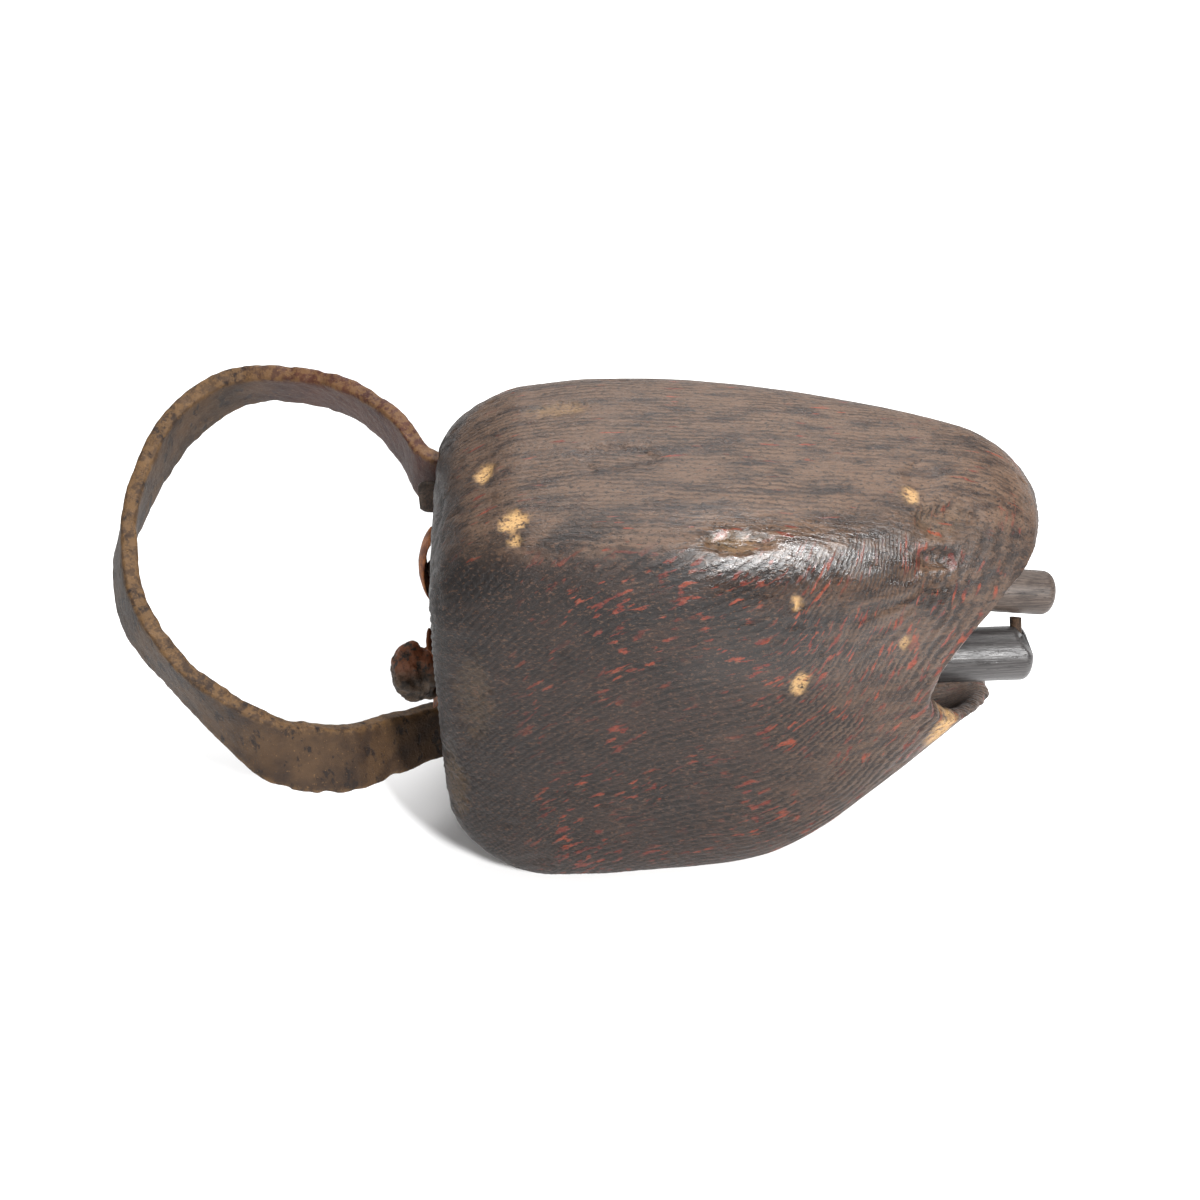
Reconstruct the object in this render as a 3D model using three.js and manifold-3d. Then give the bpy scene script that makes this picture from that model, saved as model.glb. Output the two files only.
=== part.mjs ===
// Carved wooden animal bell with a leather carrying strap and two hardwood clappers.
// Units are millimetres. +X runs along the bell from the crown to the mouth, +Y across its
// thickness, +Z up; the bell lies on one narrow side, which is flat at z = 0.
import * as THREE from 'three';
import { LoftGeometry } from 'three/addons/geometries/LoftGeometry.js';
import { mergeVertices } from 'three/addons/utils/BufferGeometryUtils.js';
import Module from 'manifold-3d';

const wasm = await Module();
wasm.setup();

// ---- Driving dimensions ------------------------------------------------------------------

// Bell body, outside. Every law is a list of [x, value] points joined by a smooth curve.
const BODY_LENGTH = 194;
const BODY_TOP = [[0, 138], [6, 147], [14, 154], [30, 161], [55, 163], [90, 161.8], [130, 159.5],
  [155, 158], [170, 155.5], [182, 149.5], [194, 137]];
const BODY_BOTTOM = [[0, 30], [6, 20], [14, 10], [24, 2.5], [34, -0.6], [96, -0.6], [110, 2],
  [130, 11.2], [150, 24], [165, 31.5], [180, 36.5], [194, 49]];
const BODY_HALF_THICKNESS = [[0, 42.5], [6, 47.5], [20, 51], [60, 53], [110, 52], [150, 46],
  [170, 41.5], [194, 36]];
// Squareness of the section, above and below its middle; 2 is an ellipse, 1 a diamond.
const BODY_SQUARE_HIGH = [[0, 5.5], [30, 5.5], [80, 5], [130, 3.6], [160, 2.6], [194, 2.2]];
const BODY_SQUARE_LOW = [[0, 5.5], [30, 5.5], [80, 5], [110, 4.2], [130, 3.4], [150, 2.5], [165, 1.8],
  [180, 1.25], [194, 1.1]];
const CROWN_BEVEL = 2.5;

// The hollow, open at the mouth and closed by the crown wall.
const CROWN_WALL = 24;
const HOLLOW_TOP = [[24, 146], [60, 147], [100, 145], [130, 142], [150, 138], [165, 133], [210, 129]];
const HOLLOW_BOTTOM = [[24, 15], [60, 15], [100, 17], [130, 27], [150, 38], [165, 45], [180, 49.5],
  [194, 57], [210, 62]];
const HOLLOW_HALF_THICKNESS = [[24, 34], [60, 38], [110, 37.5], [150, 34], [165, 33], [210, 31]];
const HOLLOW_SQUARE_HIGH = [[24, 4.5], [100, 3.8], [150, 2.8], [210, 2.3]];
const HOLLOW_SQUARE_LOW = [[24, 4.5], [100, 3.8], [130, 3.2], [150, 2.6], [165, 2], [180, 1.4], [210, 1.2]];
const HOLLOW_END_ROUND = 6;
const HOLLOW_END_DEPTH = 0.8;
const HOLLOW_CUT_END = 210;

// Arched mouth: the broad walls stop short and leave an ear on each narrow side.
const ARCH_START = 157;
const ARCH_DEPTH = 34.5;
const ARCH_MIDDLE = 88;
const ARCH_REACH_UP = 49.5;
const ARCH_REACH_DOWN = 34;
const ARCH_POWER_UP = 2.3;
const ARCH_POWER_DOWN = 1.2;

// Leather strap: one flat belt from the upper crown slot round to the lower one.
const STRAP_WIDTH = 25;
const STRAP_THICKNESS = 6;
const STRAP_EDGE = 1.2;
const STRAP_UPPER_SLOT = { y: 28, z: 125, pinY: 22.4 };
const STRAP_LOWER_SLOT = { y: 3, z: 34, pinY: 3 };
const STRAP_TAIL = 38;
// [x, y, z, lean x, lean y] where the two leans tilt the belt's width away from upright.
const STRAP_PATH = [
  [STRAP_TAIL, STRAP_UPPER_SLOT.y, STRAP_UPPER_SLOT.z, 0, 0],
  [CROWN_WALL, STRAP_UPPER_SLOT.y, STRAP_UPPER_SLOT.z, 0, 0],
  [4, STRAP_UPPER_SLOT.y, STRAP_UPPER_SLOT.z, 0, 0],
  [-4, 33, 127.5, 0, -0.1],
  [-11, 44.5, 132.5, 0, -0.3],
  [-27.5, 61, 137, 0, -0.6],
  [-48, 71, 137.5, 0, -0.7],
  [-70.5, 71, 137, 0, -0.7],
  [-88, 57.5, 131.5, 0.1, -0.5],
  [-98.5, 38.5, 122, 0.26, -0.2],
  [-104, 19, 110.5, 0.36, -0.05],
  [-101, 1.5, 96.5, 0.22, -0.1],
  [-88.5, -12, 83.5, 0.1, -0.25],
  [-72, -22, 71, 0, -0.05],
  [-54, -28, 58.8, 0, 0.25],
  [-35, -22.5, 48, 0, 0.3],
  [-18.5, -8.5, 39.5, 0, 0.2],
  [0.5, STRAP_LOWER_SLOT.y, STRAP_LOWER_SLOT.z, 0, 0],
  [CROWN_WALL, STRAP_LOWER_SLOT.y, STRAP_LOWER_SLOT.z, 0, 0],
  [STRAP_TAIL, STRAP_LOWER_SLOT.y, STRAP_LOWER_SLOT.z, 0, 0],
];
const STRAP_STATIONS = 110;
const SLOT_CLEARANCE = 0.4;

// Toggle pins through the strap tails, which stop the strap pulling out of the crown.
const TOGGLE_RADIUS = 3;
const TOGGLE_LENGTH = 17.6;
const TOGGLE_X = CROWN_WALL + 4.2;
const TOGGLE_CLEARANCE = 0.35;

// Wedge driven into the upper slot beside the strap.
const WEDGE_SIZE = { x: 17, y: 3.4, z: 13 };
const WEDGE_X = 3;

// Clappers: round rods, each with an eye near its head for the rawhide thong.
const EYE_X = 50;
const EYE_RADIUS = 3.5;
const HEAD_LENGTH = 9;
const LARGE = { radius: 9.5, eyeY: -10, eyeZ: 76, tipX: 200, tipY: -8, tipZ: 74.5, endRound: 3.5 };
const SMALL = { radius: 7.7, eyeY: 6, eyeZ: 109, tipX: 208.5, tipY: 6, tipZ: 89, endRound: 3 };
const CHAMFER_LENGTH = 6;
const CHAMFER_DROP = 5.5;

// Rawhide thongs: a knot and shank in the crown wall, then a loop through the clapper's eye.
const THONG_RADIUS = 2.7;
const SHANK_RADIUS = 3.4;
const SHANK_CLEARANCE = 0.35;
const SHANK_END_X = CROWN_WALL + 1;
const LOOP_START_X = CROWN_WALL + 2;
const LEG_GAP = 1;
const LARGE_KNOT = { length: 14, radius: 10.5, lobes: 5, swell: 0.16, standOff: 4.5 };
const SMALL_KNOT = { length: 3, radius: 5, lobes: 4, swell: 0.12, standOff: 0.8 };

// Dry hide flaps: the large one lies under its knot and is pierced, the small one arches over.
const FLAP_GAP = 0.5;
const LARGE_FLAP = { y: 7, z: 15, rise: 2, thickness: 2, curl: 3.2, bulge: 0, pierced: true };
const SMALL_FLAP = { y: 7, z: 14, rise: 0.5, thickness: 1.7, curl: 0, bulge: 4.6, pierced: false };

// Peg standing on the large clapper, which carries the small one.
const PEG_X = 196;
const PEG_RADIUS = 2.1;
const PEG_SINK = 4;
const PEG_CLEARANCE = 1.3;
const PEG_LEAN = 0.9;
const PEG_HOLE_CLEARANCE = 0.35;

// ---- Helpers -----------------------------------------------------------------------------

// Monotone cubic curve through [x, value] points.
function law(points, x) {
  const last = points.length - 1;
  if (x <= points[0][0]) return points[0][1];
  if (x >= points[last][0]) return points[last][1];
  const slope = (i) => (points[i + 1][1] - points[i][1]) / (points[i + 1][0] - points[i][0]);
  const tangent = (i) => {
    if (i === 0) return slope(0);
    if (i === last) return slope(last - 1);
    const before = slope(i - 1);
    const after = slope(i);
    return before * after <= 0 ? 0 : (2 * before * after) / (before + after);
  };
  let i = 0;
  while (x > points[i + 1][0]) i += 1;
  const span = points[i + 1][0] - points[i][0];
  const t = (x - points[i][0]) / span;
  const t2 = t * t;
  const t3 = t2 * t;
  return (2 * t3 - 3 * t2 + 1) * points[i][1] + (t3 - 2 * t2 + t) * span * tangent(i)
    + (3 * t2 - 2 * t3) * points[i + 1][1] + (t3 - t2) * span * tangent(i + 1);
}

// Ring of points on a superellipse standing in the plane x = constant.
function ovalRing(x, bottom, top, halfThickness, squareHigh, squareLow, count) {
  const ring = [];
  for (let i = 0; i < count; i += 1) {
    const angle = ((i + 0.5) / count) * Math.PI * 2;
    const c = Math.cos(angle);
    const s = Math.sin(angle);
    const power = 2 / (s > 0 ? squareHigh : squareLow);
    const y = Math.sign(c) * Math.abs(c) ** power * halfThickness;
    const z = Math.sign(s) * Math.abs(s) ** power * ((top - bottom) / 2);
    ring.push(new THREE.Vector3(x, y, (top + bottom) / 2 + z));
  }
  return ring;
}

function toSolid(geometry) {
  const plain = new THREE.BufferGeometry();
  plain.setAttribute('position', geometry.getAttribute('position').clone());
  if (geometry.index) plain.setIndex(geometry.index.clone());
  const merged = mergeVertices(plain, 1e-4);
  return new wasm.Manifold(new wasm.Mesh({
    numProp: 3,
    vertProperties: new Float32Array(merged.getAttribute('position').array),
    triVerts: new Uint32Array(merged.index.array),
  }));
}

function toGeometry(solid) {
  const mesh = solid.getMesh();
  const geometry = new THREE.BufferGeometry();
  geometry.setAttribute('position', new THREE.BufferAttribute(new Float32Array(mesh.vertProperties), 3));
  geometry.setIndex(new THREE.BufferAttribute(new Uint32Array(mesh.triVerts), 1));
  geometry.computeVertexNormals();
  return geometry;
}

function loft(rings) {
  return toSolid(new LoftGeometry(rings, { capStart: true, capEnd: true }));
}

// Rod along the line from one point to another, with a rounded far end.
function rod(from, to, radius, round) {
  const length = from.distanceTo(to);
  const profile = [new THREE.Vector2(0, 0), new THREE.Vector2(radius - 1, 0), new THREE.Vector2(radius, 1)];
  for (let i = 0; i <= 5; i += 1) {
    const angle = (i / 5) * (Math.PI / 2);
    const r = radius - round + round * Math.cos(angle);
    profile.push(new THREE.Vector2(r, length - round + round * Math.sin(angle)));
  }
  profile.push(new THREE.Vector2(0, length));
  const geometry = new THREE.LatheGeometry(profile, 40);
  const turn = new THREE.Quaternion();
  turn.setFromUnitVectors(new THREE.Vector3(0, 1, 0), to.clone().sub(from).normalize());
  geometry.applyQuaternion(turn);
  geometry.translate(from.x, from.y, from.z);
  return toSolid(geometry);
}

function box(sizeX, sizeY, sizeZ, x, y, z) {
  const geometry = new THREE.BoxGeometry(sizeX, sizeY, sizeZ);
  geometry.translate(x, y, z);
  return toSolid(geometry);
}

// Belt swept along STRAP_PATH, grown by `grow` on every side of its section.
function belt(grow) {
  const spine = new THREE.CatmullRomCurve3(
    STRAP_PATH.map(([x, y, z]) => new THREE.Vector3(x, y, z)), false, 'centripetal');
  const leans = new THREE.CatmullRomCurve3(
    STRAP_PATH.map(([, , , leanX, leanY]) => new THREE.Vector3(leanX, leanY, 1)), false, 'centripetal');
  const half = STRAP_WIDTH / 2 + grow;
  const deep = STRAP_THICKNESS / 2 + grow;
  const corner = STRAP_EDGE;
  const section = [[half, deep - corner], [half - corner, deep], [corner - half, deep],
    [-half, deep - corner], [-half, corner - deep], [corner - half, -deep],
    [half - corner, -deep], [half, corner - deep]];
  const rings = [];
  for (let i = 0; i <= STRAP_STATIONS; i += 1) {
    const t = i / STRAP_STATIONS;
    const middle = spine.getPoint(t);
    const along = spine.getTangent(t);
    const wide = leans.getPoint(t);
    wide.addScaledVector(along, -wide.dot(along)).normalize();
    const out = new THREE.Vector3().crossVectors(along, wide);
    rings.push(section.map(([a, b]) => middle.clone().addScaledVector(wide, a).addScaledVector(out, b)));
  }
  return loft(rings);
}

// ---- Bell body ---------------------------------------------------------------------------

function bodyShell() {
  const stations = [0, CROWN_BEVEL, 6, 10, 14, 19, 24, 29, 34];
  for (let x = 42; x < 130; x += 8) stations.push(x);
  for (let x = 130; x < BODY_LENGTH; x += 5) stations.push(x);
  stations.push(BODY_LENGTH);
  const outside = loft(stations.map((x) => {
    const inset = x === 0 ? CROWN_BEVEL : 0;
    return ovalRing(x, law(BODY_BOTTOM, x) + inset, law(BODY_TOP, x) - inset,
      law(BODY_HALF_THICKNESS, x) - inset, law(BODY_SQUARE_HIGH, x), law(BODY_SQUARE_LOW, x), 72);
  }));
  const depths = [0, 1.5, HOLLOW_END_ROUND].map((d) => CROWN_WALL + d);
  for (let x = 40; x <= HOLLOW_CUT_END; x += 10) depths.push(x);
  const hollow = loft(depths.map((x) => {
    const turn = Math.min((x - CROWN_WALL) / HOLLOW_END_ROUND, 1);
    const inset = HOLLOW_END_ROUND * (1 - Math.sqrt(1 - (1 - turn) ** 2)) * HOLLOW_END_DEPTH;
    return ovalRing(x, law(HOLLOW_BOTTOM, x) + inset, law(HOLLOW_TOP, x) - inset,
      law(HOLLOW_HALF_THICKNESS, x) - inset, law(HOLLOW_SQUARE_HIGH, x), law(HOLLOW_SQUARE_LOW, x), 48);
  }));
  const arch = new THREE.Shape();
  arch.moveTo(260, 0);
  for (let z = 0; z <= 180; z += 4) {
    const reach = z > ARCH_MIDDLE ? ARCH_REACH_UP : ARCH_REACH_DOWN;
    const power = z > ARCH_MIDDLE ? ARCH_POWER_UP : ARCH_POWER_DOWN;
    const rise = ARCH_DEPTH * (Math.abs(z - ARCH_MIDDLE) / reach) ** power;
    arch.lineTo(Math.min(ARCH_START + rise, 240), z);
  }
  arch.lineTo(260, 180);
  const archCut = new THREE.ExtrudeGeometry(arch, { depth: 160, bevelEnabled: false });
  archCut.rotateX(Math.PI / 2);
  archCut.translate(0, 80, 0);
  const ground = box(400, 200, 20, 100, 0, -10);
  return outside.subtract(hollow).subtract(toSolid(archCut)).subtract(ground);
}

function thongBore(clapper) {
  const start = new THREE.Vector3(-12, clapper.eyeY, clapper.eyeZ);
  const end = new THREE.Vector3(CROWN_WALL + 12, clapper.eyeY, clapper.eyeZ);
  return rod(start, end, SHANK_RADIUS + SHANK_CLEARANCE, 0.5);
}

// The wedge lies against the inner face of the strap's upper run.
function wedgeBox(grow) {
  const y = STRAP_UPPER_SLOT.y - STRAP_THICKNESS / 2 - WEDGE_SIZE.y / 2;
  return box(WEDGE_SIZE.x + 2 * grow, WEDGE_SIZE.y + 2 * grow, WEDGE_SIZE.z + 2 * grow,
    WEDGE_X, y, STRAP_UPPER_SLOT.z);
}

const beltRoom = belt(SLOT_CLEARANCE);
const bellBody = bodyShell()
  .subtract(beltRoom)
  .subtract(wedgeBox(SLOT_CLEARANCE))
  .subtract(thongBore(LARGE))
  .subtract(thongBore(SMALL));

// ---- Strap, toggles and wedge ------------------------------------------------------------

function toggle(slot, radius, length) {
  const start = new THREE.Vector3(TOGGLE_X, slot.pinY - length / 2, slot.z);
  const end = new THREE.Vector3(TOGGLE_X, slot.pinY + length / 2, slot.z);
  return rod(start, end, radius, 1);
}

const pinHole = TOGGLE_RADIUS + TOGGLE_CLEARANCE;
const strap = belt(0)
  .subtract(toggle(STRAP_UPPER_SLOT, pinHole, TOGGLE_LENGTH))
  .subtract(toggle(STRAP_LOWER_SLOT, pinHole, TOGGLE_LENGTH));

const wedge = wedgeBox(0).subtract(beltRoom);

// ---- Clappers ----------------------------------------------------------------------------

function eyeOf(clapper) {
  return new THREE.Vector3(EYE_X, clapper.eyeY, clapper.eyeZ);
}

function directionOf(clapper) {
  return new THREE.Vector3(clapper.tipX, clapper.tipY, clapper.tipZ).sub(eyeOf(clapper)).normalize();
}

function clapperRod(clapper) {
  const head = eyeOf(clapper).addScaledVector(directionOf(clapper), -HEAD_LENGTH);
  const tip = new THREE.Vector3(clapper.tipX, clapper.tipY, clapper.tipZ);
  const low = new THREE.Vector3(EYE_X, clapper.eyeY, clapper.eyeZ - clapper.radius - 5);
  const high = new THREE.Vector3(EYE_X, clapper.eyeY, clapper.eyeZ + clapper.radius + 5);
  return rod(head, tip, clapper.radius, clapper.endRound).subtract(rod(low, high, EYE_RADIUS, 0.5));
}

// Flat cut slanting off the upper edge of the large clapper's tip.
function tipChamfer(clapper) {
  const tilt = Math.atan2(CHAMFER_DROP, CHAMFER_LENGTH);
  const geometry = new THREE.BoxGeometry(40, 40, 20);
  geometry.translate(0, 0, 10);
  geometry.rotateY(tilt);
  geometry.translate(clapper.tipX - CHAMFER_LENGTH, clapper.tipY, clapper.tipZ + clapper.radius);
  return toSolid(geometry);
}

function pegSolid(radius, from, to) {
  const middleY = (LARGE.tipY + SMALL.tipY) / 2;
  const height = (z) => new THREE.Vector3(PEG_X, middleY + (z - (from + to) / 2) * PEG_LEAN, z);
  return rod(height(from), height(to), radius, 0.6);
}

function axisHeight(clapper, x) {
  const run = (x - EYE_X) / (clapper.tipX - EYE_X);
  return clapper.eyeZ + (clapper.tipZ - clapper.eyeZ) * run;
}

const pegFrom = axisHeight(LARGE, PEG_X) + 1.2;
const pegTo = axisHeight(SMALL, PEG_X) - 1.2;
const clapperSmall = clapperRod(SMALL);
const nearSmall = new THREE.Vector3(PEG_X - 20, SMALL.tipY, axisHeight(SMALL, PEG_X - 20));
const pastSmall = new THREE.Vector3(PEG_X + 20, SMALL.tipY, axisHeight(SMALL, PEG_X + 20));
const smallEnvelope = rod(nearSmall, pastSmall, SMALL.radius + PEG_CLEARANCE, 0.5);
const clapperLarge = clapperRod(LARGE)
  .subtract(tipChamfer(LARGE))
  .subtract(pegSolid(PEG_RADIUS + PEG_HOLE_CLEARANCE, pegFrom - PEG_SINK, pegTo));
const peg = pegSolid(PEG_RADIUS, pegFrom - PEG_SINK + 0.5, pegTo).subtract(smallEnvelope);

// ---- Rawhide thongs ----------------------------------------------------------------------

// Closed loop of round thong: through the eye, along both sides of the rod and back to a stem.
function thongLoop(clapper) {
  const leg = clapper.radius + LEG_GAP + THONG_RADIUS;
  const eye = eyeOf(clapper);
  const half = [[0, clapper.radius * 0.6], [0, clapper.radius + 0.2], [-1.1, leg - 0.9], [-4, leg],
    [-11, leg * 0.93], [-17, leg * 0.5]];
  const mirrored = half.map(([x, z]) => [x, -z]).reverse();
  const outline = [[0, 0], ...half, [-18.5, 0], ...mirrored];
  const path = new THREE.CatmullRomCurve3(
    outline.map(([x, z]) => new THREE.Vector3(eye.x + x, eye.y, eye.z + z)), true, 'centripetal');
  const steps = 56;
  const sides = 12;
  const positions = [];
  const indices = [];
  for (let i = 0; i < steps; i += 1) {
    const point = path.getPoint(i / steps);
    const along = path.getTangent(i / steps);
    const out = new THREE.Vector3().crossVectors(along, new THREE.Vector3(0, 1, 0)).normalize();
    for (let j = 0; j < sides; j += 1) {
      const angle = (j / sides) * Math.PI * 2;
      const spot = point.clone().addScaledVector(out, Math.cos(angle) * THONG_RADIUS);
      spot.y += Math.sin(angle) * THONG_RADIUS;
      positions.push(spot.x, spot.y, spot.z);
      const a = i * sides + j;
      const b = i * sides + ((j + 1) % sides);
      const c = ((i + 1) % steps) * sides + j;
      const d = ((i + 1) % steps) * sides + ((j + 1) % sides);
      indices.push(a, c, b, b, c, d);
    }
  }
  const geometry = new THREE.BufferGeometry();
  geometry.setAttribute('position', new THREE.Float32BufferAttribute(positions, 3));
  geometry.setIndex(indices);
  const stemStart = new THREE.Vector3(LOOP_START_X, eye.y, eye.z);
  const stemEnd = new THREE.Vector3(EYE_X - 16, eye.y, eye.z);
  return toSolid(geometry).add(rod(stemStart, stemEnd, SHANK_RADIUS, 0.8));
}

// Lumpy knot on the crown with its shank running through the crown wall.
function thongKnot(clapper, knot) {
  const rings = [];
  const steps = 14;
  for (let i = 0; i <= steps; i += 1) {
    const t = i / steps;
    const bulge = Math.sin(Math.PI * (0.06 + 0.88 * t)) ** 0.6;
    const ring = [];
    for (let j = 0; j < 28; j += 1) {
      const angle = (j / 28) * Math.PI * 2;
      const lump = 1 + knot.swell * Math.sin(knot.lobes * angle + 5 * t) * Math.sin(7 * t + angle);
      const radius = knot.radius * bulge * lump;
      const x = -knot.standOff - knot.length * (1 - t);
      ring.push(new THREE.Vector3(x, clapper.eyeY + radius * Math.cos(angle),
        clapper.eyeZ + radius * Math.sin(angle)));
    }
    rings.push(ring);
  }
  const shankStart = new THREE.Vector3(-knot.standOff - knot.length / 2, clapper.eyeY, clapper.eyeZ);
  const shankEnd = new THREE.Vector3(SHANK_END_X, clapper.eyeY, clapper.eyeZ);
  return loft(rings).add(rod(shankStart, shankEnd, SHANK_RADIUS, 0.8));
}

// Flap of dry hide on the crown, curled away at its ends or arched over the knot.
function hideFlap(clapper, flap) {
  const columns = 16;
  const rings = [];
  for (let i = 0; i <= columns; i += 1) {
    const v = (i / columns) * 2 - 1;
    const half = flap.y * (1 - 0.35 * v * v) * (1 + 0.12 * Math.sin(6 * v));
    const lift = FLAP_GAP + flap.curl * v ** 4 + flap.bulge * Math.cos((v * Math.PI) / 2) ** 0.7;
    const z = clapper.eyeZ + flap.rise + flap.z * v;
    const ring = [];
    for (const [side, deep] of [[-1, 0], [-0.5, 0], [0, 0], [0.5, 0], [1, 0], [1, 1], [0, 1], [-1, 1]]) {
      const x = -lift - deep * flap.thickness;
      ring.push(new THREE.Vector3(x, clapper.eyeY + side * half, z));
    }
    rings.push(ring);
  }
  return flap.pierced ? loft(rings).subtract(thongBore(clapper)) : loft(rings);
}

// ---- Assembly ----------------------------------------------------------------------------

const solids = {
  bell_body: bellBody,
  strap,
  strap_toggle_upper: toggle(STRAP_UPPER_SLOT, TOGGLE_RADIUS, TOGGLE_LENGTH),
  strap_toggle_lower: toggle(STRAP_LOWER_SLOT, TOGGLE_RADIUS, TOGGLE_LENGTH),
  strap_wedge: wedge,
  clapper_large: clapperLarge,
  clapper_small: clapperSmall,
  clapper_peg: peg,
  thong_loop_large: thongLoop(LARGE),
  thong_loop_small: thongLoop(SMALL),
  thong_knot_large: thongKnot(LARGE, LARGE_KNOT),
  thong_knot_small: thongKnot(SMALL, SMALL_KNOT),
  hide_flap_large: hideFlap(LARGE, LARGE_FLAP),
  hide_flap_small: hideFlap(SMALL, SMALL_FLAP),
};

const bell = new THREE.Group();
for (const [name, solid] of Object.entries(solids)) {
  const mesh = new THREE.Mesh(toGeometry(solid), new THREE.MeshStandardMaterial({ color: 0x5a4636 }));
  mesh.name = name;
  bell.add(mesh);
}

// Put the origin under the middle of the whole object.
const extent = new THREE.Box3().setFromObject(bell);
const shift = extent.getCenter(new THREE.Vector3());
for (const mesh of bell.children) mesh.geometry.translate(-shift.x, -shift.y, -extent.min.z);

export default bell;
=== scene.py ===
"""Old carved wooden animal bell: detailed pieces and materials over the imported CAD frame.

Shapes are worked out in the bell's own millimetres: x from the crown to the mouth, y across
the thickness from its middle, z up from the floor. place() turns them into the row frame.
"""
import math

import bpy
import numpy as np
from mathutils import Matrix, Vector, noise


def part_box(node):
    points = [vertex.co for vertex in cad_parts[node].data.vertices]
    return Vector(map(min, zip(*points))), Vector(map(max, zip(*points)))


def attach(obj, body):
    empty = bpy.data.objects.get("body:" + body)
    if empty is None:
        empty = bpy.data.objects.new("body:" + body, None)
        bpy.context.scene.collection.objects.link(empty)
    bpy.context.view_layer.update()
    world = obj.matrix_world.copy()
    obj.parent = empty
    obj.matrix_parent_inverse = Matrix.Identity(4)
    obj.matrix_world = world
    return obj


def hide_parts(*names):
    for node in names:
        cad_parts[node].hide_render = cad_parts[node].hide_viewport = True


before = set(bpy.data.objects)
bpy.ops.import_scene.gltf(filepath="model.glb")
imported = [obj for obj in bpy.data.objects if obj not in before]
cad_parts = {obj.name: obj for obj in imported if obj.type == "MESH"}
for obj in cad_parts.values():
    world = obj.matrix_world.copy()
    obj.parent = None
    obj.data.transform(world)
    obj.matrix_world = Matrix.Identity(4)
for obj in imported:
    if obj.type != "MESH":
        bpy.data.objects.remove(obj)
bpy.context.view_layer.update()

# ---- The bell's place in the row frame ----

MM = 0.001
BODY_LOW, BODY_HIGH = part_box("bell_body")
ORIGIN = np.array([BODY_LOW[0], (BODY_LOW[1] + BODY_HIGH[1]) / 2, 0.0])


def place(points):
    """Bell millimetres to row-frame metres."""
    return np.asarray(points, dtype=float) * MM + ORIGIN


def node_box(node):
    """Middle and half size of a CAD node's box, in bell millimetres."""
    low, high = ((np.array(corner) - ORIGIN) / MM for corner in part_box(node))
    return (low + high) / 2, (high - low) / 2


# ---- Driving dimensions, the same as the CAD's ----

BODY_LENGTH = 194
BODY_TOP = [(0, 138), (6, 147), (14, 154), (30, 161), (55, 163), (90, 161.8), (130, 159.5),
            (155, 158), (170, 155.5), (182, 149.5), (194, 137)]
BODY_BOTTOM = [(0, 30), (6, 20), (14, 10), (24, 2.5), (34, 0), (96, 0), (110, 2),
               (130, 11.2), (150, 24), (165, 31.5), (180, 36.5), (194, 49)]
BODY_THICK = [(0, 42.5), (6, 47.5), (20, 51), (60, 53), (110, 52), (150, 46), (170, 41.5), (194, 36)]
# Squareness of the section above and below its middle: 2 is an ellipse, 1 a diamond.
BODY_SQUARE = ([(0, 5.5), (30, 5.5), (80, 5), (130, 3.6), (160, 2.6), (194, 2.2)],
               [(0, 5.5), (30, 5.5), (80, 5), (110, 4.2), (130, 3.4), (150, 2.5), (165, 1.8),
                (180, 1.25), (194, 1.1)])
CROWN_BEVEL = 2.5

CROWN_WALL = 24
HOLLOW_TOP = [(24, 146), (60, 147), (100, 145), (130, 142), (150, 138), (165, 133), (210, 129)]
HOLLOW_BOTTOM = [(24, 15), (60, 15), (100, 17), (130, 27), (150, 38), (165, 45), (180, 49.5),
                 (194, 57), (210, 62)]
HOLLOW_THICK = [(24, 34), (60, 38), (110, 37.5), (150, 34), (165, 33), (210, 31)]
HOLLOW_SQUARE = ([(24, 4.5), (100, 3.8), (150, 2.8), (210, 2.3)],
                 [(24, 4.5), (100, 3.8), (130, 3.2), (150, 2.6), (165, 2), (180, 1.4), (210, 1.2)])
HOLLOW_END_ROUND = 6

ARCH_START, ARCH_DEPTH, ARCH_MIDDLE = 157, 34.5, 88
ARCH_REACH_UP, ARCH_REACH_DOWN = 49.5, 34
ARCH_POWER_UP, ARCH_POWER_DOWN = 2.3, 1.2

STRAP_WIDTH, STRAP_THICKNESS = 25, 6
UPPER_SLOT = (28, 125)
LOWER_SLOT = (3, 34)
STRAP_TAIL = 38
# x, y, z of the belt's middle line, then how far its width leans along x and y.
STRAP_PATH = [
    (STRAP_TAIL, *UPPER_SLOT, 0, 0), (CROWN_WALL, *UPPER_SLOT, 0, 0), (4, *UPPER_SLOT, 0, 0),
    (-4, 33, 127.5, 0, -0.1), (-11, 44.5, 132.5, 0, -0.3), (-27.5, 61, 137, 0, -0.6),
    (-48, 71, 137.5, 0, -0.7), (-70.5, 71, 137, 0, -0.7), (-88, 57.5, 131.5, 0.1, -0.5),
    (-98.5, 38.5, 122, 0.26, -0.2), (-104, 19, 110.5, 0.36, -0.05), (-101, 1.5, 96.5, 0.22, -0.1),
    (-88.5, -12, 83.5, 0.1, -0.25), (-72, -22, 71, 0, -0.05), (-54, -28, 58.8, 0, 0.25),
    (-35, -22.5, 48, 0, 0.3), (-18.5, -8.5, 39.5, 0, 0.2),
    (0.5, *LOWER_SLOT, 0, 0), (CROWN_WALL, *LOWER_SLOT, 0, 0), (STRAP_TAIL, *LOWER_SLOT, 0, 0),
]

LARGE = {"radius": 9.5, "eye": (50, -10, 76), "tip": (200, -8, 74.5), "round": 3.5}
SMALL = {"radius": 7.7, "eye": (50, 6, 109), "tip": (208.5, 6, 89), "round": 3.5}
HEAD_LENGTH = 9
EYE_RADIUS = 3.5
THONG_RADIUS = 2.6
SHANK_RADIUS = 3.3
LEG_GAP = 1.1
LOOP_START = CROWN_WALL + 2

# ---- Curves and noise ----


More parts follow.
